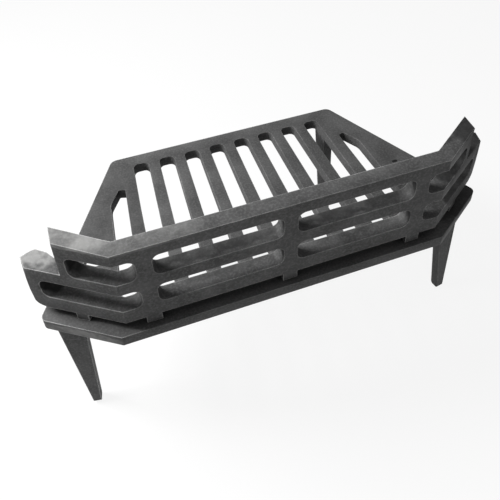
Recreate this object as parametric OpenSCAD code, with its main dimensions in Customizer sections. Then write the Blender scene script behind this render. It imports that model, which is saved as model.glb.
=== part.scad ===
// Cast-iron log grate. A slotted bottom plate stands on four tapered blade legs. A barred
// front, the fret, stands in peg holes in the plate's front shelf and lifts straight off.
// The fret's two ends turn back along the shelf as stepped wings.
// Millimetres. +X runs to the right along the front, +Y to the back, +Z up. The origin is on
// the floor, midway across the grate's width and depth.

/* [Bottom plate] */
// Height of the plate's top face above the floor
plate_top = 131.4; // [120:0.1:145]
// Thickness of the plate
plate_t = 11; // [10.4:0.2:13]
// Depth from the shelf's front edge to the back edge
plate_depth = 193.8; // [192.8:0.2:200]
// Width of the straight front edge
front_edge_w = 282.6; // [280:0.2:284]
// Width across the two pointed ends of the shelf, before they are rounded
tip_w = 397.4; // [396:0.2:402]
// Distance of the pointed ends behind the front edge
tip_setback = 37.8; // [37:0.2:40]
// Width of the back edge, before its corners are rounded
back_edge_w = 230.8; // [229:0.2:242]
// Corner radius at the pointed ends
tip_r = 5; // [3:0.5:6]
// Corner radius at the back
back_r = 8; // [4:0.5:12]

/* [Ash slots] */
// Distance from one slot to the next, halfway along them
slot_pitch = 27; // [26.8:0.1:27.2]
// Width of a slot, halfway along it
slot_w = 15.7; // [14:0.1:15.8]
// Distance of the point where the lines of the slots would meet behind the front edge
fan_reach = 1508; // [1400:4:1700]
// Distance of the slots' front ends behind the front edge
slot_front = 20; // [19:0.5:30]
// Width of the solid band along the back edge
back_band = 12.7; // [12:0.1:16]
// Corner radius of the full-length slots
slot_r = 5; // [2:0.5:6]
// Distance of the outer slots' front ends behind the front edge
outer_slot_front = 11.7; // [11:0.1:13]
// Distance of the corner of the outer slots' outer side behind the front edge
outer_slot_corner = 137; // [120:0.5:138]
// Distance of the outer slots' back ends behind the front edge
outer_slot_back = 153.3; // [146:0.1:154]
// Distance of the short slots' front ends behind the front edge
short_slot_front = 74; // [73:0.5:80]
// Distance of the short slots' back ends behind the front edge
short_slot_back = 90; // [86:0.5:92]

/* [Fret] */
// Height of the fret above the plate's top face
fret_h = 91.4; // [88:0.1:100]
// How much the tops of the wings rise from the bend to the tall step's end
wing_rise = 3.2; // [1:0.1:5]
// Thickness of the fret
fret_t = 13.2; // [12:0.2:13.4]
// Distance of the fret's front face behind the shelf's front edge
fret_setback = 6; // [5.5:0.1:6.5]
// Height of the gap under the bottom bar
under_gap = 8.2; // [6:0.2:9]
// Top of the bottom bar above the plate
bottom_bar_top = 23.2; // [20:0.2:25]
// Underside of the middle bar above the plate
middle_bar_low = 44.3; // [42:0.1:46]
// Top of the middle bar above the plate
middle_bar_top = 56.8; // [55:0.1:59]
// Underside of the top bar above the plate
top_bar_low = 79.5; // [76:0.5:81]
// Width of the straight front between the two bends
fret_front_w = 271.1; // [270:0.1:273]
// Distance of the side posts from the centre line
post_x = 113.4; // [113:0.1:113.8]
// Width of the three posts
post_w = 12.6; // [11.6:0.1:13.6]
// Corner radius of the openings between the bars
window_r = 6.5; // [3:0.5:7]

/* [Wings] */
// Angle by which the wings turn back
wing_angle = 33.1; // [32.5:0.1:34]
// Distance of the tall step's end from the centre line, at its top
tall_end_x = 171.5; // [170.5:0.1:172.5]
// How much further out the tall step's end is at its foot
tall_end_lean = 1; // [0.2:0.2:3]
// Distance of the low step's top corner from the centre line
low_end_x = 197; // [195:0.2:197.4]
// How much further out the low step's edge bulges below its top corner
low_end_bulge = 1.3; // [0.5:0.1:2]
// Length of the upper wing opening, from the bend
upper_window_len = 37.1; // [30:0.1:37.6]
// Length of the lower wing opening, from the bend
lower_window_len = 65.2; // [50:0.1:66]
// Distance of the wing's lug from the bend
lug_start = 31.6; // [29:0.2:36]
// Length of the wing's lug
lug_len = 10.2; // [8:0.2:13]

/* [Locating pegs] */
// Radius of the fret's two pegs
peg_r = 3.2; // [2.8:0.1:3.4]
// Length of the pegs below the fret's lugs
peg_len = 8; // [6:0.5:9]
// Radial clearance of the pegs in the plate's holes
peg_play = 0.4; // [0.3:0.1:0.5]

/* [Legs] */
// Thickness of the legs
leg_t = 9.4; // [8:0.2:9.8]
// Thickness of the legs' fixing flanges
flange_t = 6; // [5:0.5:7]
// Width of a front leg at its top
front_leg_w = 24.4; // [22:0.2:26]
// Width of a rear leg at its top
rear_leg_w = 20.8; // [18:0.2:22]
// Width of a leg at its foot
leg_foot_w = 6.4; // [6:0.2:8]
// Height of the slopes at the front and back of a foot
foot_slope = 4; // [2:0.2:4.6]
// Distance of a front leg from the centre line
front_leg_x = 179.4; // [178:0.1:180]
// Distance of a front leg's top behind the front edge
front_leg_y = 48.7; // [47.5:0.1:50]
// Forward lean of the front legs, in degrees
front_leg_lean = 8.5; // [5:0.1:9]
// Angle by which a front leg's outer side is turned to the back
front_leg_turn = 9.3; // [6:0.1:10]
// How far a front leg's foot is further inwards than its top
front_leg_rake = 5.5; // [3:0.1:7]
// Distance of the middle of a rear leg's top behind the front edge
rear_leg_y = 172.3; // [171:0.1:174]
// How far a rear leg's foot is further forward than its top
rear_leg_rake = 12.7; // [6:0.1:13]
// Depth of the flat worn on each foot
foot_flat = 0.6; // [0.4:0.1:1]

/* [Leg screws] */
// Radius of the screws, a plain cylinder in place of the thread
screw_r = 2.95; // [2.8:0.05:2.95]
// Length of the screws under the head
screw_len = 14; // [12:0.5:14]
// Width of the hexagon head across its flats
head_af = 10; // [9:0.5:10]
// Height of the hexagon head
head_h = 4; // [3.5:0.1:4.5]
// Radius of the holes in the plate, a plain cylinder in place of the thread
tapped_r = 3; // [3:0.05:3.1]
// Radius of the clearance holes in the flanges
flange_hole_r = 3.3; // [3.1:0.1:3.5]
// Outer radius of the spring washers
washer_r = 5.5; // [5.2:0.1:5.6]
// Inner radius of the spring washers
washer_bore_r = 3.1; // [3.05:0.05:3.3]
// Thickness of the spring washers
washer_t = 1.6; // [1.4:0.1:1.8]
// Width of the cut in the spring washers
washer_cut = 1; // [0.6:0.1:1.4]

/* [Hidden] */
$fn = 64;
eps = 1;                // by how much a cutter passes the face that it cuts
arc_steps = 8;          // straight pieces in each rounded corner

// Levels; body_top is above the plate, clear of the highest point of the wings
body_top = fret_h + wing_rise + 2;
plate_low = plate_top - plate_t;
flange_low = plate_low - flange_t;
screw_depth = screw_len - flange_t - washer_t;
tapped_depth = screw_depth + 1;     // the tapped holes end 1 beyond the screws

// Plan: y of the shelf's front edge and of the faces measured from it
front_y = -plate_depth / 2;
fret_y = front_y + fret_setback;
bend_x = fret_front_w / 2;
slot_count = 8;         // full-length slots, even, so that a bar lies on the centre line
fan_mid = 100;          // where the slots have their nominal pitch and width
slot_back = plate_depth - back_band;
outer_slot_mid = (slot_count + 1) / 2 * slot_pitch;
outer_slot_out = outer_slot_mid + 15.3;
outer_slot_tip = outer_slot_mid - 5.9;
short_slot_mid = outer_slot_mid + slot_pitch;
bend_slot_start = post_x + post_w / 2;
peg_x = post_x - 1.6;   // off the post's middle, clear of the outer slot
peg_y = fret_y + fret_t / 2;

// Legs: places are from the centre line and from the shelf's front edge
front_flange = [[157.5, 44], [190.5, 44], [190.5, 50], [180, 70], [157.5, 70]];
front_holes = [[165, 62.5], [178, 62.5]];
rear_bar = slot_count / 2 * slot_pitch;
rear_leg_x = fan(rear_bar, rear_leg_y).x;
rear_leg_turn = atan(rear_bar / (fan_reach - fan_mid));
rear_flange = [[100, 164], [123, 164], [122.5, 170], [118.3, 186], [116, 188], [100, 188]];
rear_holes = [[115, 170.3], [113.2, 182.2]];

// A corner b between a and c, rounded with radius r
function unit(v) = v / norm(v);
function turn(from, to) = (to - from + 540) % 360 - 180;
function fillet(a, b, c, r) =
    r <= 0 ? [b] :
    let (u = unit(a - b),
        v = unit(c - b),
        half = acos(u * v) / 2,
        centre = b + unit(u + v) * r / sin(half),
        first = b + u * r / tan(half) - centre,
        last = b + v * r / tan(half) - centre,
        start = atan2(first.y, first.x),
        sweep = turn(start, atan2(last.y, last.x)))
    [for (i = [0:arc_steps]) centre + r * [cos(start + sweep * i / arc_steps),
        sin(start + sweep * i / arc_steps)]];
// A closed outline through pts, each corner rounded with its radius in radii
function rounded(pts, radii) =
    let (n = len(pts))
    [for (i = [0:n - 1]) each fillet(pts[(i + n - 1) % n], pts[i], pts[(i + 1) % n], radii[i])];
function all_corners(r, n) = [for (i = [1:n]) r];
function mirrored(pts) = [for (i = [len(pts) - 1:-1:0]) [-pts[i].x, pts[i].y]];
function box_outline(x0, x1, y0, y1) = [[x0, y0], [x1, y0], [x1, y1], [x0, y1]];
// Where the line that is at x halfway along the slots is at y, from the shelf's front edge
function fan(x, y) = [x * (fan_reach - y) / (fan_reach - fan_mid), y];
function slot_outline(mid, front, back) = [fan(mid - slot_w / 2, front),
    fan(mid + slot_w / 2, front), fan(mid + slot_w / 2, back), fan(mid - slot_w / 2, back)];

// The same thing on both sides of the centre line
module both_sides() {
    children();
    mirror([1, 0, 0]) children();
}
// A shape drawn upright, as seen from the front, cut right through the fret's front
module through_front(over = eps) {
    translate([0, fret_y + fret_t + over, plate_top])
        rotate([90, 0, 0])
            linear_extrude(fret_t + 2 * over)
                children();
}
// A shape drawn upright on the right wing's face, from the bend outwards, cut right through it
module through_wing(over = eps) {
    translate([bend_x, fret_y, plate_top])
        rotate([0, 0, wing_angle])
            translate([0, fret_t + over, 0])
                rotate([90, 0, 0])
                    linear_extrude(fret_t + 2 * over)
                        children();
}
// The same thing at each of a leg's two screws, on the right
module at_holes(holes) {
    for (at = holes)
        translate([at.x, front_y + at.y, plate_low])
            children();
}
module at_all_leg_holes() {
    both_sides() {
        at_holes(front_holes) children();
        at_holes(rear_holes) children();
    }
}

// Bottom plate
module plate_outline() {
    right = [[front_edge_w / 2, front_y], [tip_w / 2, front_y + tip_setback],
        [back_edge_w / 2, front_y + plate_depth]];
    front_r = 2;
    radii = [front_r, tip_r, back_r, back_r, tip_r, front_r];
    polygon(rounded(concat(right, mirrored(right)), radii));
}
module slot(mid, front, back) {
    translate([0, front_y])
        polygon(rounded(slot_outline(mid, front, back), all_corners(slot_r, 4)));
}
// Its outer side turns in towards the back and ends in a narrow rounded tip
module outer_slot() {
    inner = outer_slot_mid - slot_w / 2 + 0.4;
    side_in = 10.8;
    tip_slope = 1.8;
    front_r = 6;
    side_r = 14;
    tip_radii = [1.5, 1];
    pts = [fan(inner, outer_slot_front), [outer_slot_out, outer_slot_front],
        [outer_slot_out - side_in, outer_slot_corner], [outer_slot_tip, outer_slot_back],
        fan(inner, outer_slot_back - tip_slope)];
    translate([0, front_y])
        polygon(rounded(pts, concat([front_r, front_r, side_r], tip_radii)));
}
module bottom_grate() {
    color("dimgray")
        difference() {
            translate([0, 0, plate_low])
                linear_extrude(plate_t)
                    plate_outline();
            translate([0, 0, plate_low - eps])
                linear_extrude(plate_t + 2 * eps) {
                    for (i = [0:slot_count - 1])
                        slot((i - (slot_count - 1) / 2) * slot_pitch, slot_front, slot_back);
                    both_sides() {
                        outer_slot();
                        slot(short_slot_mid, short_slot_front, short_slot_back);
                    }
                }
            both_sides()
                translate([peg_x, peg_y, plate_low - eps])
                    cylinder(h = plate_t + 2 * eps, r = peg_r + peg_play);
            at_all_leg_holes()
                translate([0, 0, -eps])
                    cylinder(h = tapped_depth + eps, r = tapped_r);
        }
}

// Fret
// The fret from above. The wing's back face widens into the low step; places are from the bend.
module fret_plan() {
    inner = fret_t * tan(wing_angle / 2);
    spare = 5;
    beyond = low_end_x - bend_x + spare;
    widens_at = 38.6;
    back_y = fret_t / cos(wing_angle);
    low_step = [[beyond, 50.6], [62.4, 51.6], [59, 53], [55, 54.6], [51.6, 54.9], [43.6, 48.5]];
    from_bend = concat([[0, 0], [beyond, beyond * tan(wing_angle)]], low_step,
        [[widens_at, back_y + widens_at * tan(wing_angle)], [-inner, fret_t]]);
    right = [for (at = from_bend) at + [bend_x, fret_y]];
    polygon(concat(right, mirrored(right)));
}
// What is cut away above the fret: level between the bends, rising out along the wings
module above_fret() {
    out = 50;
    rise = wing_rise / (tall_end_x - bend_x) * out;
    right = [[bend_x + out, body_top + eps], [bend_x + out, fret_h + rise], [bend_x, fret_h]];
    left = [for (i = [2:-1:0]) [-right[i].x, right[i].y]];
    translate([0, 0, plate_top])
        rotate([90, 0, 0])
            linear_extrude(2 * plate_depth, center = true)
                polygon(concat(right, left));
}
module window(x0, x1, z0, z1) {
    polygon(rounded(box_outline(x0, x1, z0, z1), all_corners(window_r, 4)));
}
module bay_windows(x0, x1) {
    window(x0, x1, bottom_bar_top, middle_bar_low);
    window(x0, x1, middle_bar_top, top_bar_low);
}
// Plan of an opening that runs round the bend, from the side post out along the wing
module bend_window_plan(len) {
    before = 0.6;
    behind = 6;
    along = [cos(wing_angle), sin(wing_angle)];
    inward = [-sin(wing_angle), cos(wing_angle)];
    bend = [bend_x, fret_y];
    deep = fret_t + behind;
    half = tan(wing_angle / 2);
    polygon([[bend_slot_start, fret_y - before], bend + [before * half, -before],
        bend + len * along - before * inward, bend + len * along + deep * inward,
        bend + [-deep * half, deep], [bend_slot_start, fret_y + deep]]);
}
// What stays of an opening's square corner at (x, z); the opening lies on its sx and sz side
module rounded_corner(x, z, sx, sz) {
    r = window_r;
    n = arc_steps;
    arc = fillet([x, z + sz * 2 * r], [x, z], [x + sx * 2 * r, z], r);
    first = arc[0] + (arc[0] - arc[1]) / 2;
    last = arc[n] + (arc[n] - arc[n - 1]) / 2;
    inner = [for (i = [1:n - 1]) arc[i]];
    polygon(concat([first], inner, [last, [last.x, z - sz * eps], [x - sx * eps, z - sz * eps],
        [x - sx * eps, first.y]]));
}
module bend_window(len, z0, z1) {
    over = 7;
    difference() {
        translate([0, 0, plate_top + z0])
            linear_extrude(z1 - z0)
                bend_window_plan(len);
        through_front(over) {
            rounded_corner(bend_slot_start, z0, 1, 1);
            rounded_corner(bend_slot_start, z1, 1, -1);
        }
        through_wing(over) {
            rounded_corner(len, z0, -1, 1);
            rounded_corner(len, z1, -1, -1);
        }
    }
}
module bend_windows() {
    bend_window(lower_window_len, bottom_bar_top, middle_bar_low);
    bend_window(upper_window_len, middle_bar_top, top_bar_low);
}
// What is cut away beyond the tall step: its end leans out slightly, and turns out to the back
module beyond_tall_step() {
    turn_out = 0.6;
    over = 2 * eps;
    far = 60;
    foot_x = tall_end_x + tall_end_lean;
    lean = tall_end_lean / (fret_h - middle_bar_top);
    top = body_top + over;
    translate([foot_x, fret_y + (foot_x - bend_x) * tan(wing_angle), plate_top])
        rotate([0, 0, -turn_out])
            rotate([90, 0, 0])
                linear_extrude(2 * far, center = true)
                    polygon([[0, middle_bar_top], [far, middle_bar_top], [far, top],
                        [-lean * (top - middle_bar_top), top]]);
}
// What is cut away beyond the low step: its edge bulges, and is rounded off at the foot
module beyond_low_step() {
    turn_out = 9;
    foot_r = 8;
    foot_in = 0.8;
    bulge_low = 30;
    bulge_high = 42;
    bulge_high_share = 0.8;
    top_in = 0.3;
    over = 3;
    far = 60;
    top = middle_bar_top + over;
    foot = fillet([low_end_bulge, bulge_low], [low_end_bulge - foot_in, under_gap],
        [-far, under_gap], foot_r);
    translate([low_end_x, fret_y + (low_end_x - bend_x) * tan(wing_angle), plate_top])
        rotate([0, 0, -turn_out])
            rotate([90, 0, 0])
                linear_extrude(far, center = true)
                    polygon(concat([[far, top], [-top_in, top],
                        [low_end_bulge * bulge_high_share, bulge_high],
                        [low_end_bulge, bulge_low]], foot,
                        [[foot[arc_steps].x, under_gap - over], [far, under_gap - over]]));
}
module lug(x0, x1, inset = 0) {
    translate([x0, inset, 0])
        cube([x1 - x0, fret_t - 2 * inset, under_gap + eps]);
}
module lugs() {
    wing_lug_inset = 0.2;
    translate([0, fret_y, plate_top]) {
        lug(-post_w / 2, post_w / 2);
        both_sides() lug(post_x - post_w / 2, post_x + post_w / 2);
    }
    both_sides()
        translate([bend_x, fret_y, plate_top])
            rotate([0, 0, wing_angle])
                lug(lug_start, lug_start + lug_len, wing_lug_inset);
}
module peg() {
    lead_in = 1.2;
    rotate_extrude()
        polygon([[0, -peg_len], [peg_r - lead_in, -peg_len], [peg_r, -peg_len + lead_in],
            [peg_r, eps], [0, eps]]);
}
module front_fret() {
    bay_in = 0.5;
    color("#4b4b4b")
        union() {
            difference() {
                translate([0, 0, plate_top + under_gap])
                    linear_extrude(body_top - under_gap)
                        fret_plan();
                above_fret();
                through_front() {
                    bay_windows(post_w / 2 - bay_in, post_x - post_w / 2);
                    bay_windows(-post_x + post_w / 2, -post_w / 2 + bay_in);
                }
                both_sides() {
                    bend_windows();
                    beyond_tall_step();
                    beyond_low_step();
                }
            }
            lugs();
            both_sides()
                translate([peg_x, peg_y, plate_top])
                    peg();
        }
}

// Legs
// A tapered blade, drawn upright with the middle of its top at the origin. Its foot is rounded,
// slopes away at its front and back, and is moved sideways by rake.
module blade(top_w, height, rake) {
    top = top_w / 2;
    foot = leg_foot_w / 2;
    above = 2 * eps;
    foot_round = 0.92;
    foot_r = foot * foot_round;
    outside = leg_t / 2 + eps;
    slope = 0.8;
    flat_end = leg_t / 2 - slope * (foot_slope + eps);
    slope_top = -height + foot_slope + eps / slope;
    side = [[outside, above + eps], [outside, slope_top], [flat_end, -height - eps]];
    intersection() {
        rotate([90, 0, 0])
            linear_extrude(leg_t, center = true)
                polygon(rounded([[-top, above], [top, above], [rake + foot, -height],
                    [rake - foot, -height]], [0, 0, foot_r, foot_r]));
        rotate([90, 0, 90])
            linear_extrude(3 * top_w, center = true)
                polygon(concat(side, mirrored(side)));
    }
}
module below_plate() {
    intersection() {
        children();
        linear_extrude(plate_low)
            square(3 * plate_depth, center = true);
    }
}
module flange_holes(holes) {
    at_holes(holes)
        translate([0, 0, -flange_t - eps])
            cylinder(h = flange_t + 2 * eps, r = flange_hole_r);
}
module front_right_leg_shape() {
    difference() {
        union() {
            below_plate()
                translate([front_leg_x, front_y + front_leg_y, plate_low])
                    rotate([-front_leg_lean, 0, front_leg_turn])
                        blade(front_leg_w, (plate_low + foot_flat) / cos(front_leg_lean),
                            -front_leg_rake);
            translate([0, front_y, flange_low])
                linear_extrude(flange_t)
                    polygon(front_flange);
        }
        flange_holes(front_holes);
    }
}
module rear_right_leg_shape() {
    difference() {
        union() {
            below_plate()
                translate([rear_leg_x, front_y + rear_leg_y, plate_low])
                    rotate([0, 0, rear_leg_turn - 90])
                        blade(rear_leg_w, plate_low + foot_flat, rear_leg_rake);
            translate([0, front_y, flange_low])
                linear_extrude(flange_t)
                    polygon(rear_flange);
        }
        flange_holes(rear_holes);
    }
}
module front_right_leg() {
    color("#454545") front_right_leg_shape();
}
module front_left_leg() {
    color("#454545") mirror([1, 0, 0]) front_right_leg_shape();
}
module rear_right_leg() {
    color("#404040") rear_right_leg_shape();
}
module rear_left_leg() {
    color("#404040") mirror([1, 0, 0]) rear_right_leg_shape();
}

// Leg screws and spring washers, pushed up from below
module leg_screws() {
    color("silver")
        at_all_leg_holes() {
            translate([0, 0, -flange_t - washer_t])
                cylinder(h = screw_len, r = screw_r);
            translate([0, 0, -flange_t - washer_t - head_h])
                cylinder(h = head_h, r = head_af / 2 / cos(180 / 6), $fn = 6);
        }
}
module leg_washers() {
    cut_turn = 40;
    color("gray")
        at_all_leg_holes()
            translate([0, 0, -flange_t - washer_t])
                difference() {
                    cylinder(h = washer_t, r = washer_r);
                    translate([0, 0, -eps])
                        cylinder(h = washer_t + 2 * eps, r = washer_bore_r);
                    rotate([0, 0, cut_turn])
                        translate([0, -washer_cut / 2, -eps])
                            cube([washer_r + eps, washer_cut, washer_t + 2 * eps]);
                }
}

bottom_grate();
front_fret();
front_left_leg();
front_right_leg();
rear_left_leg();
rear_right_leg();
leg_screws();
leg_washers();
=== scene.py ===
"""A cast-iron log grate, dressed for rendering round its CAD frame.

Each casting is a copy of its CAD solid, with its loose triangles joined and its edges rounded as
a sand mould leaves them. The screws and spring washers keep their CAD solids and get a new
finish. Lengths are in millimetres, apart from those of the lamps and the camera, which are in
metres like the meshes.
"""

import logging
import math
from dataclasses import dataclass
from enum import Enum
from typing import Any

import bmesh
import bpy
from mathutils import Matrix, Vector

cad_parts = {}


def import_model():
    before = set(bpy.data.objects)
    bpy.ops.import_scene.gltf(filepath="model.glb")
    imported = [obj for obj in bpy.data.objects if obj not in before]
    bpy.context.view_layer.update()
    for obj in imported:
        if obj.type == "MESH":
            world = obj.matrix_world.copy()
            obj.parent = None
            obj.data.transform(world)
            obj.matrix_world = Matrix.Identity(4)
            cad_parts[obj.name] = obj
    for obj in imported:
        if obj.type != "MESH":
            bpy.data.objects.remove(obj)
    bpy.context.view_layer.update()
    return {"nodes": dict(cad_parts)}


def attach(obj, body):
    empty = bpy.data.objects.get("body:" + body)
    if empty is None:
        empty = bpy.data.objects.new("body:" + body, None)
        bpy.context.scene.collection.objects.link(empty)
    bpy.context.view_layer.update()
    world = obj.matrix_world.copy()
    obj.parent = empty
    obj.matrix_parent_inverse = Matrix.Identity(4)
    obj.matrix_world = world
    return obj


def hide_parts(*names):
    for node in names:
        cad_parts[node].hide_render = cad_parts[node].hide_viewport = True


LOG = logging.getLogger("log_grate")
MM = 0.001
WHITE = (1.0, 1.0, 1.0, 1.0)
# At a scale of 1, the blobs of Blender's noise are about half a metre wide.
NOISE_BLOB = 0.5
# How many rays look round each point for an edge or a recess.
LOOK_ROUND = 6
# A range that starts and ends softly.
SOFT = {"interpolation_type": "SMOOTHSTEP"}

Socket = bpy.types.NodeSocket
Tree = bpy.types.NodeTree
Nodes = dict[str, bpy.types.Object]
Triple = tuple[float, float, float]
Pair = tuple[float, float]


class Body(str, Enum):
    """The two bodies of the grate."""

    GRATE = "grate"
    FRET = "fret"


class Slot(str, Enum):
    """Material slots of the record, which each casting keeps as a value but doesn't use."""

    PLATE = "plate_iron"
    FRET = "fret_iron"
    LEG = "leg_iron"


class Tint(str, Enum):
    """Colours laid over the iron's skin, in sRGB hex digits: bare edges, smoke and pits, and
    painted highlights and painted shade.
    """

    # Bare iron at the edges, with a painted highlight.
    BARE_AND_HIGHLIGHT = "cececd"
    # Painted highlight.
    HIGHLIGHT = "cfcfcd"
    SMOKE = "2c2c2c"
    SHADE = "1c1c1c"
    PIT = "1b1b1b"
    # Painted shade.
    PAINTED_SHADE = "161616"
    # Painted deep shade.
    BLACK = "0a0a0a"


def linear(hex_code: str) -> tuple[float, float, float, float]:
    """Turns an sRGB hex colour into linear light.

    Args:
        hex_code: Six hex digits.

    Returns:
        Red, green, blue and an alpha of 1.
    """
    parts = [int(hex_code[i : i + 2], 16) / 255 for i in (0, 2, 4)]
    light = [p / 12.92 if p <= 0.04045 else ((p + 0.055) / 1.055) ** 2.4 for p in parts]
    return (light[0], light[1], light[2], 1.0)


def add_node(
    tree: Tree,
    kind: str,
    inputs: dict[Any, Any] | None = None,
    out: int | str = 0,
    **settings: Any,
) -> Socket | None:
    """Adds a shader node with its settings, values and links.

    Args:
        tree: The node tree to add to.
        kind: Blender's name for the node's type, without the ShaderNode that starts it.
        inputs: A value or an output socket for each input, by its name or number.
        out: The wanted output, by its name or number.
        **settings: Properties of the node itself.

    Returns:
        The wanted output, or None if the node has none.
    """
    node = tree.nodes.new(f"ShaderNode{kind}")
    for name, value in settings.items():
        setattr(node, name, value)
    for key, value in (inputs or {}).items():
        if isinstance(value, Socket):
            tree.links.new(value, node.inputs[key])
        else:
            node.inputs[key].default_value = value
    return node.outputs[out] if len(node.outputs) else None


def band(
    value: Socket, start: float, end: float, least: float = 0.0, most: Socket | float = 1.0
) -> dict[int, Any]:
    """Gives the inputs of a Map Range node that turns start to end into least to most.

    Args:
        value: The value to turn.
        start: Where the result is least.
        end: Where the result is most.
        least: The result up to the start.
        most: The result from the end on.

    Returns:
        The node's inputs by number.
    """
    return {0: value, 1: start, 2: end, 3: least, 4: most}


def seen_plainly(tree: Tree) -> Socket:
    """Tells what the camera sees, also in metal or through glass, from light that bounces on.

    Args:
        tree: The node tree to add to.

    Returns:
        1 for a ray that shows the surface itself, and 0 for one that only lights the object.
    """
    path = add_node(tree, "LightPath").node.outputs
    seen = path["Is Camera Ray"]
    for ray in ("Is Glossy Ray", "Is Transmission Ray"):
        seen = add_node(tree, "Math", {0: seen, 1: path[ray]}, operation="MAXIMUM")
    return seen


def blank_material(name: str) -> bpy.types.Material:
    """Makes a material with an empty node tree.

    Args:
        name: Name of the material.

    Returns:
        The new material.
    """
    material = bpy.data.materials.new(name)
    material.use_nodes = True
    material.node_tree.nodes.clear()
    return material


@dataclass(frozen=True)
class Mottle:
    """An uneven pattern, by the width of its blobs, its finer layers and their strength."""

    width: float
    detail: float
    roughness: float = 0.5

    def inputs(self, place: Socket) -> dict[str, Any]:
        """Gives the inputs of the noise that draws the pattern.

        Args:
            place: Object coordinates.

        Returns:
            The noise's inputs by name.
        """
        return {
            "Vector": place,
            "Scale": NOISE_BLOB / (self.width * MM),
            "Detail": self.detail,
            "Roughness": self.roughness,
        }


@dataclass(frozen=True)
class Spot:
    """A place on a casting, and half its length each way."""

    centre: Triple
    size: Triple


@dataclass(frozen=True)
class Pit(Spot):
    """A small dark flaw in a casting's skin."""


@dataclass(frozen=True)
class PaintedPatch(Spot):
    """A patch of colour over the skin, in shares from least to strength. Most patches are painted
    highlight and painted shade; one is smoke.
    """

    strength: float
    tint: Tint = Tint.HIGHLIGHT
    least: float = 0.0


@dataclass(frozen=True)
class Skin:
    """The patterns that the layers of a casting's skin share."""

    tree: Tree
    place: Socket
    cloud: Socket
    grit: Socket
    swell: Socket

    def patch(
        self, spot: Spot, rim: Pair, ragged: Socket, wander: float, most: Socket | float
    ) -> Socket:
        """Finds a soft patch with a ragged rim.

        Args:
            spot: Its place and size.
            rim: How far out it ends and how far out it is full, where 1 is its size.
            ragged: Noise that breaks its rim.
            wander: How far the noise moves the rim.
            most: The share inside the patch.

        Returns:
            That share inside the patch, and 0 outside.
        """
        away = self.place
        for operation, lengths in (("SUBTRACT", spot.centre), ("DIVIDE", spot.size)):
            metres = [length * MM for length in lengths]
            away = add_node(self.tree, "VectorMath", {0: away, 1: metres}, operation=operation)
        far = add_node(self.tree, "VectorMath", {0: away}, out="Value", operation="LENGTH")
        moved = add_node(
            self.tree, "Math", {0: ragged, 1: wander, 2: -wander / 2}, operation="MULTIPLY_ADD"
        )
        reach = add_node(self.tree, "Math", {0: far, 1: moved}, operation="ADD")
        return add_node(self.tree, "MapRange", band(reach, *rim, 0.0, most), **SOFT)


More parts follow.
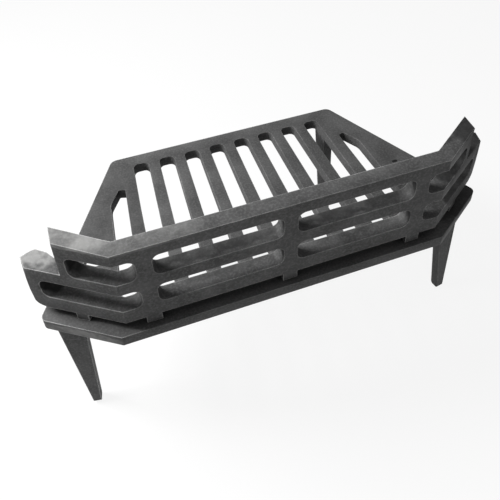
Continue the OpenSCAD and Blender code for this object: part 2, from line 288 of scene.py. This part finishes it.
@dataclass(frozen=True)
class SandCastIron:
    """Grey cast iron, sand cast and blackened, with its edges rubbed bare, and painted highlights
    and painted shade on it.

    A band is the stretch of a pattern from where a layer starts to where it is full. A cloud is
    a band of the mottle, with the least share that it leaves of a layer.
    """

    name: str
    skin: str
    pale: str
    deep: str
    pits: tuple[Pit, ...] = ()
    painted_patches: tuple[PaintedPatch, ...] = ()

    # The uneven tone, the grain of the sand and the slow swell.
    mottle: Mottle = Mottle(width=14.0, detail=4.0, roughness=0.55)
    mottle_band: Pair = (0.32, 0.68)
    grain: Mottle = Mottle(width=0.9, detail=2.0, roughness=0.6)
    grain_band: Pair = (0.40, 0.72)
    grain_share: float = 0.32
    swell: Mottle = Mottle(width=6.0, detail=2.0)
    swell_weight: float = 1.6
    bump_strength: float = 0.45
    bump_depth: float = 0.18

    # Painted shade in recesses: how far it looks round, and the share of open air that starts and
    # fills it.
    recess_shade_reach: float = 12.0
    recess_shade_band: Pair = (0.85, 0.35)
    recess_shade_cloud: Triple = (0.3, 0.7, 0.7)

    # Bare edges with a painted highlight: their width, and the cosine of the turn from the flat
    # to the rounded normal.
    rub_and_highlight_width: float = 1.5
    rub_and_highlight_band: Pair = (0.99, 0.80)
    rub_and_highlight_cloud: Triple = (0.3, 0.65, 0.25)
    # Along x, from full at the left end, which faces the light, down to the least share further
    # right.
    rub_and_highlight_across: Pair = (-115.0, -140.0)
    least_rub_and_highlight: float = 0.3

    # Painted highlights, painted shade, smoke and pits at their own places.
    spot_rim: Pair = (1.0, 0.7)
    patch_band: Pair = (0.4, 0.58)
    patch_wander: float = 0.9
    pit_wander: float = 0.3

    # The soft shine.
    gloss_band: Pair = (0.3, 0.7)
    roughness: Pair = (0.54, 0.68)
    specular: float = 0.10

    def build(self) -> bpy.types.Material:
        """Builds the material.

        Returns:
            The finished material.
        """
        # Blackened iron is a dull dielectric skin of oxide and graphite, so it isn't metallic: it
        # gives the eye a dark grey that only shines softly at low angles. The sand of the mould
        # leaves an even grain, drawn at about 0.9 mm so that it shows at this size of picture.
        material = blank_material(self.name)
        tree = material.node_tree
        place = add_node(tree, "TexCoord", out="Object")
        cloud, grit, swell = (
            add_node(tree, "TexNoise", pattern.inputs(place))
            for pattern in (self.mottle, self.grain, self.swell)
        )
        skin = Skin(tree, place, cloud, grit, swell)
        rough = add_node(tree, "MapRange", band(cloud, *self.gloss_band, *self.roughness))
        height = self._height(skin)
        bump = add_node(
            tree,
            "Bump",
            {"Strength": self.bump_strength, "Distance": self.bump_depth * MM, "Height": height},
        )
        shader = add_node(
            tree,
            "BsdfPrincipled",
            {
                "Base Color": self._colour(skin),
                "Roughness": rough,
                "Normal": bump,
                "Metallic": 0.0,
                "Specular IOR Level": self.specular,
            },
        )
        add_node(tree, "OutputMaterial", {"Surface": shader})
        return material

    def _colour(self, skin: Skin) -> Socket:
        """Lays one colour over another, from the iron's own up to the pits.

        Args:
            skin: The patterns of the skin.

        Returns:
            The colour of the skin.
        """
        tree = skin.tree
        tone = add_node(tree, "MapRange", band(skin.cloud, *self.mottle_band), **SOFT)
        fleck_band = band(skin.grit, *self.grain_band, 0.0, self.grain_share)
        fleck = add_node(tree, "MapRange", fleck_band, **SOFT)
        layers = [
            (tone, self.skin),
            (fleck, self.pale),
            # Painted shade in the recesses.
            (self._painted_recess_shade(skin), Tint.PAINTED_SHADE),
            # Bare edges with a painted highlight, strongest at the left end.
            (self._rubbed_and_highlit(skin), Tint.BARE_AND_HIGHLIGHT),
        ]
        # Patches of painted highlight, painted shade and smoke.
        for painted_patch in self.painted_patches:
            uneven = band(skin.swell, *self.patch_band, painted_patch.least, painted_patch.strength)
            share = add_node(tree, "MapRange", uneven)
            blotch = skin.patch(painted_patch, self.spot_rim, skin.swell, self.patch_wander, share)
            layers.append((blotch, painted_patch.tint))
        for pit in self.pits:
            hole = skin.patch(pit, self.spot_rim, skin.grit, self.pit_wander, 1.0)
            layers.append((hole, Tint.PIT))
        colour = linear(self.deep)
        # Mix has its two colours at inputs 6 and 7, and the mixed colour at output 2.
        for share, tint in layers:
            mixed = {0: share, 6: colour, 7: linear(tint)}
            colour = add_node(tree, "Mix", mixed, out=2, data_type="RGBA")
        return colour

    def _painted_recess_shade(self, skin: Skin) -> Socket:
        """Finds the narrow gaps and inner corners, where shade falls, and paints shade there.

        Args:
            skin: The patterns of the skin.

        Returns:
            The share of painted shade.
        """
        tree = skin.tree
        reach = {"Distance": self.recess_shade_reach * MM}
        open_share = add_node(tree, "AmbientOcclusion", reach, out="AO", samples=LOOK_ROUND)
        uneven = add_node(tree, "MapRange", band(skin.cloud, *self.recess_shade_cloud))
        return add_node(tree, "MapRange", band(open_share, *self.recess_shade_band, 0.0, uneven), **SOFT)

    def _rubbed_and_highlit(self, skin: Skin) -> Socket:
        """Finds the edges where the blacking is rubbed off, and paints a highlight on them, most
        at the left end, which faces the light.

        Args:
            skin: The patterns of the skin.

        Returns:
            The share of bare iron and painted highlight.
        """
        # The rounded normal turns away from the face's own only close to an edge or a corner.
        tree = skin.tree
        rounded = add_node(tree, "Bevel", {"Radius": self.rub_and_highlight_width * MM}, samples=LOOK_ROUND)
        normals = {0: rounded, 1: add_node(tree, "NewGeometry", out="Normal")}
        same = add_node(tree, "VectorMath", normals, out="Value", operation="DOT_PRODUCT")
        patchy = add_node(tree, "MapRange", band(skin.cloud, *self.rub_and_highlight_cloud))
        across = add_node(tree, "SeparateXYZ", {0: skin.place})
        start, end = (x * MM for x in self.rub_and_highlight_across)
        # The bare edges and their painted highlight are full at the left end, which faces the
        # light.
        toward_light = add_node(tree, "MapRange", band(across, start, end, self.least_rub_and_highlight))
        most = add_node(tree, "Math", {0: patchy, 1: toward_light}, operation="MULTIPLY")
        return add_node(tree, "MapRange", band(same, *self.rub_and_highlight_band, 0.0, most), **SOFT)

    def _height(self, skin: Skin) -> Socket:
        """Adds the mould's fine grain to the casting's slow swell.

        Args:
            skin: The patterns of the skin.

        Returns:
            The height of the skin, as a share of its depth.
        """
        slow = {0: skin.swell, 1: self.swell_weight}
        both = {0: skin.grit, 1: add_node(skin.tree, "Math", slow, operation="MULTIPLY")}
        return add_node(skin.tree, "Math", both, operation="ADD")


@dataclass(frozen=True)
class ZincSteel:
    """Zinc-plated steel fixings, dulled by smoke."""

    name: str = "dull zinc-plated steel"
    colour: str = "8d8c89"
    blotch: Mottle = Mottle(width=3.0, detail=3.0)
    stain_band: Pair = (0.3, 0.7)
    roughness: Pair = (0.34, 0.55)

    def build(self) -> bpy.types.Material:
        """Builds the material.

        Returns:
            The finished material.
        """
        # Rolled, plated steel gives the eye a grey metal shine, broken by smoke stain.
        material = blank_material(self.name)
        tree = material.node_tree
        place = add_node(tree, "TexCoord", out="Object")
        blotch = add_node(tree, "TexNoise", self.blotch.inputs(place))
        rough = add_node(tree, "MapRange", band(blotch, *self.stain_band, *self.roughness))
        shader = add_node(
            tree,
            "BsdfPrincipled",
            {"Base Color": linear(self.colour), "Metallic": 1.0, "Roughness": rough},
        )
        add_node(tree, "OutputMaterial", {"Surface": shader})
        return material


@dataclass(frozen=True)
class StudioPaper:
    """White studio paper, seen white and keeping a faint shadow."""

    name: str = "white studio paper"
    colour: str = "f2f2f2"
    bounce: str = "8a8a8a"
    shadow_share: float = 0.12

    def build(self) -> bpy.types.Material:
        """Builds the material.

        Returns:
            The finished material.
        """
        # Matt paper gives the eye an even white. It is seen as light of strength 1, which is
        # white, with a share of matt paper that takes the shadow, and it lights the iron dimly.
        material = blank_material(self.name)
        tree = material.node_tree
        white = add_node(tree, "Emission", {"Color": WHITE, "Strength": 1.0})
        matt = add_node(tree, "BsdfDiffuse", {"Color": linear(self.colour)})
        shown = add_node(tree, "MixShader", {0: self.shadow_share, 1: white, 2: matt})
        dim = add_node(tree, "BsdfDiffuse", {"Color": linear(self.bounce)})
        both = add_node(tree, "MixShader", {0: seen_plainly(tree), 1: dim, 2: shown})
        add_node(tree, "OutputMaterial", {"Surface": both})
        return material


PLATE_TOP = 131.4

PLATE_IRON = SandCastIron(
    name="blackened iron plate",
    skin="525252",
    pale="747474",
    deep="424242",
    pits=(
        Pit((94.2, 78.5, PLATE_TOP), (1.5, 1.5, 2.0)),
        Pit((145.9, 1.3, PLATE_TOP), (3.6, 1.8, 2.0)),
    ),
    painted_patches=(
        # Smoke over the plate's left side.
        PaintedPatch((-122.0, 30.0, PLATE_TOP), (45.0, 75.0, 14.0), 0.35, Tint.SMOKE, least=0.2),
        # Painted light on the slanted band at the shelf's left end, which faces the light.
        PaintedPatch((-172.0, -80.0, 124.0), (44.0, 30.0, 7.0), 0.22, least=0.10),
        # Painted shade on the shelf's right end.
        PaintedPatch((183.0, -52.0, PLATE_TOP), (62.0, 40.0, 14.0), 0.85, Tint.PAINTED_SHADE, least=0.7),
    ),
)

FRET_IRON = SandCastIron(
    name="blackened iron fret",
    skin="565656",
    pale="7c7c7c",
    deep="424242",
    # More of the bare edges and their painted highlight away from the left end.
    least_rub_and_highlight=0.6,
    painted_patches=(
        # Painted highlight on the left wing's low step, the top bar and the left wing's tall
        # step.
        PaintedPatch((-189.0, -43.0, 188.2), (22.0, 17.0, 4.0), 0.26),
        PaintedPatch((-112.0, -84.0, 222.8), (50.0, 14.0, 4.0), 0.10, least=0.05),
        PaintedPatch((-154.0, -66.0, 224.7), (30.0, 24.0, 4.0), 0.32, least=0.12),
        # Painted deep shade in the outer ends of the left wing's two openings.
        PaintedPatch((-180.3, -49.8, 165.0), (13.0, 10.0, 14.0), 0.95, Tint.BLACK, least=0.9),
        PaintedPatch((-156.9, -65.0, 199.6), (12.0, 10.0, 14.0), 0.95, Tint.BLACK, least=0.9),
        # Painted shade round the left and the right bays.
        PaintedPatch((-57.0, -80.0, 181.0), (64.0, 11.0, 34.0), 0.70, Tint.SHADE, least=0.45),
        PaintedPatch((57.0, -80.0, 181.0), (64.0, 11.0, 34.0), 0.70, Tint.SHADE, least=0.45),
        # Painted shade over the whole right wing.
        PaintedPatch((178.0, -52.0, 180.0), (62.0, 44.0, 80.0), 0.85, Tint.PAINTED_SHADE, least=0.7),
    ),
)

LEG_IRON = SandCastIron(name="blackened iron legs", skin="5e5e5e", pale="808080", deep="4a4a4a")


@dataclass
class Casting:
    """One iron casting, made from its CAD solid."""

    title: str
    node: str
    body: Body
    slot: Slot
    edge_round: float
    segments: int = 3
    edge_angle: float = 30.0
    flat_angle: float = 0.5
    weld: float = 0.01

    def build(self, nodes: Nodes, finish: bpy.types.Material) -> None:
        """Builds the casting and puts it in the CAD solid's place.

        Args:
            nodes: The frame's CAD nodes.
            finish: Material of the casting.
        """
        mesh = self._joined(nodes[self.node].data)
        mesh.materials.clear()
        mesh.materials.append(finish)
        obj = bpy.data.objects.new(self.title, mesh)
        bpy.context.scene.collection.objects.link(obj)
        bevel = obj.modifiers.new("mould radius", "BEVEL")
        bevel.width = self.edge_round * MM
        bevel.segments = self.segments
        bevel.limit_method = "ANGLE"
        bevel.angle_limit = math.radians(self.edge_angle)
        bevel.use_clamp_overlap = True
        bevel.harden_normals = True
        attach(obj, self.body.value)
        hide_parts(self.node)
        LOG.info("%s built", self.title)

    def _joined(self, source: bpy.types.Mesh) -> bpy.types.Mesh:
        """Copies a CAD mesh, joins its loose triangles and clears the lines across flat faces.

        Args:
            source: The CAD mesh, which is left alone.

        Returns:
            The joined mesh.
        """
        bm = bmesh.new()
        bm.from_mesh(source)
        bmesh.ops.remove_doubles(bm, verts=bm.verts, dist=self.weld * MM)
        bmesh.ops.dissolve_limit(
            bm, angle_limit=math.radians(self.flat_angle), verts=bm.verts, edges=bm.edges
        )
        for face in bm.faces:
            face.smooth = True
        mesh = bpy.data.meshes.new(self.title)
        bm.to_mesh(mesh)
        bm.free()
        return mesh


@dataclass
class Plate:
    """The slotted bottom plate with its front shelf."""

    edge_round: float = 1.1
    finish: SandCastIron = PLATE_IRON

    def build(self, nodes: Nodes) -> None:
        """Builds the plate.

        Args:
            nodes: The frame's CAD nodes.
        """
        plate = Casting(
            "cast_bottom_grate", "bottom_grate", Body.GRATE, Slot.PLATE, self.edge_round
        )
        plate.build(nodes, self.finish.build())


@dataclass
class Fret:
    """The barred front with its stepped wings, lugs and pegs, which lifts off the plate."""

    edge_round: float = 0.9
    finish: SandCastIron = FRET_IRON

    def build(self, nodes: Nodes) -> None:
        """Builds the fret.

        Args:
            nodes: The frame's CAD nodes.
        """
        fret = Casting("cast_front_fret", "front_fret", Body.FRET, Slot.FRET, self.edge_round)
        fret.build(nodes, self.finish.build())


@dataclass
class Legs:
    """The four tapered legs."""

    edge_round: float = 1.4
    corners: tuple[str, ...] = ("front_left", "front_right", "rear_left", "rear_right")
    finish: SandCastIron = LEG_IRON

    def build(self, nodes: Nodes) -> None:
        """Builds the legs.

        Args:
            nodes: The frame's CAD nodes.
        """
        iron = self.finish.build()
        for corner in self.corners:
            node = f"{corner}_leg"
            leg = Casting(f"cast_{node}", node, Body.GRATE, Slot.LEG, self.edge_round)
            leg.build(nodes, iron)


@dataclass
class Fixings:
    """The leg screws and spring washers, which keep their CAD solids."""

    names: tuple[str, ...] = ("leg_screws", "leg_washers")
    finish: ZincSteel = ZincSteel()

    def build(self, nodes: Nodes) -> None:
        """Gives the fixings their finish through the material slots.

        Args:
            nodes: The frame's CAD nodes.
        """
        steel = self.finish.build()
        for name in self.names:
            for place in nodes[name].material_slots:
                place.link = "OBJECT"
                place.material = steel
            LOG.info("%s dressed", name)


@dataclass
class Softbox:
    """A square softbox that faces the grate: its place and width in metres, and its power."""

    name: str
    place: Triple
    width: float
    watts: float

    def hang(self, middle: Triple) -> None:
        """Hangs the softbox.

        Args:
            middle: The point that it faces, in metres.
        """
        light = bpy.data.lights.new(self.name, "AREA")
        light.shape = "SQUARE"
        light.size = self.width
        light.energy = self.watts
        lamp = bpy.data.objects.new(self.name, light)
        lamp.location = self.place
        away = Vector(self.place) - Vector(middle)
        lamp.rotation_euler = away.to_track_quat("Z", "Y").to_euler()
        bpy.context.scene.collection.objects.link(lamp)
        LOG.info("%s hung", self.name)


@dataclass
class Camera:
    """The camera, set by fitting it to the edges in the photograph.

    Its place is in metres and its angles are in radians. The side of the square picture, the
    focal length and the centre are in pixels, and the sensor is as wide as the picture.
    """

    name: str = "photograph's view"
    place: Triple = (-0.124417, -0.390914, 0.596912)
    azimuth: float = 0.354
    elevation: float = 0.7283
    roll: float = 0.0006
    picture: float = 500.0
    focal: float = 665.0745
    centre: Pair = (275.0, 120.0)
    sensor: float = 36.0

    def set_up(self) -> None:
        """Sets the camera where the photograph was taken from."""
        ahead = Vector(
            (
                math.sin(self.azimuth) * math.cos(self.elevation),
                math.cos(self.azimuth) * math.cos(self.elevation),
                -math.sin(self.elevation),
            )
        )
        level = ahead.cross(Vector((0, 0, 1))).normalized()
        upright = level.cross(ahead)
        right = level * math.cos(self.roll) + upright * math.sin(self.roll)
        up = upright * math.cos(self.roll) - level * math.sin(self.roll)
        lens = bpy.data.cameras.new(self.name)
        lens.sensor_width = self.sensor
        lens.lens = self.focal / self.picture * self.sensor
        lens.shift_x = (self.picture / 2 - self.centre[0]) / self.picture
        lens.shift_y = (self.centre[1] - self.picture / 2) / self.picture
        camera = bpy.data.objects.new(self.name, lens)
        turn = Matrix((right, up, -ahead)).transposed().to_4x4()
        camera.matrix_world = Matrix.Translation(self.place) @ turn
        bpy.context.scene.collection.objects.link(camera)
        bpy.context.scene.camera = camera
        LOG.info("camera set")


@dataclass
class Studio:
    """Floor, lamps, surround and camera. The lamps face its middle, in metres."""

    floor_width: float = 8000.0
    middle: Triple = (0.0, 0.0, 0.1)
    surround_light: float = 0.10
    lamps: tuple[Softbox, ...] = (
        Softbox("left softbox", (-0.56, 0.2, 0.66), 0.3, 10.3),
        Softbox("overhead softbox", (-0.1, 0.1, 1.6), 1.2, 2.6),
        Softbox("front fill", (-0.25, -1.75, 0.3), 1.0, 11.8),
    )

    def build(self) -> None:
        """Builds the floor, the lamps, the surround and the camera."""
        self._floor()
        for lamp in self.lamps:
            lamp.hang(self.middle)
        self._surround()
        Camera().set_up()

    def _floor(self) -> None:
        """Lays the studio paper."""
        bm = bmesh.new()
        bmesh.ops.create_grid(bm, x_segments=1, y_segments=1, size=self.floor_width / 2 * MM)
        mesh = bpy.data.meshes.new("studio_floor")
        bm.to_mesh(mesh)
        bm.free()
        mesh.materials.append(StudioPaper().build())
        floor = bpy.data.objects.new("studio_floor", mesh)
        bpy.context.scene.collection.objects.link(floor)
        LOG.info("studio_floor laid")

    def _surround(self) -> None:
        """Makes a white surround that lights the grate only softly."""
        world = bpy.data.worlds.new("studio surround")
        bpy.context.scene.world = world
        world.use_nodes = True
        tree = world.node_tree
        tree.nodes.clear()
        white = add_node(tree, "Background", {"Color": WHITE, "Strength": 1.0})
        soft = add_node(tree, "Background", {"Color": WHITE, "Strength": self.surround_light})
        both = add_node(tree, "MixShader", {0: seen_plainly(tree), 1: soft, 2: white})
        add_node(tree, "OutputWorld", {"Surface": both})
        LOG.info("studio surround made")


def main() -> None:
    """Loads the frame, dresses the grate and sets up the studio."""
    logging.basicConfig(level=logging.INFO, format="%(message)s")
    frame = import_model()
    for assembly in (Plate(), Fret(), Legs(), Fixings()):
        assembly.build(frame["nodes"])
    Studio().build()
    bpy.context.scene.view_settings.view_transform = "Standard"


if __name__ == "__main__":
    main()
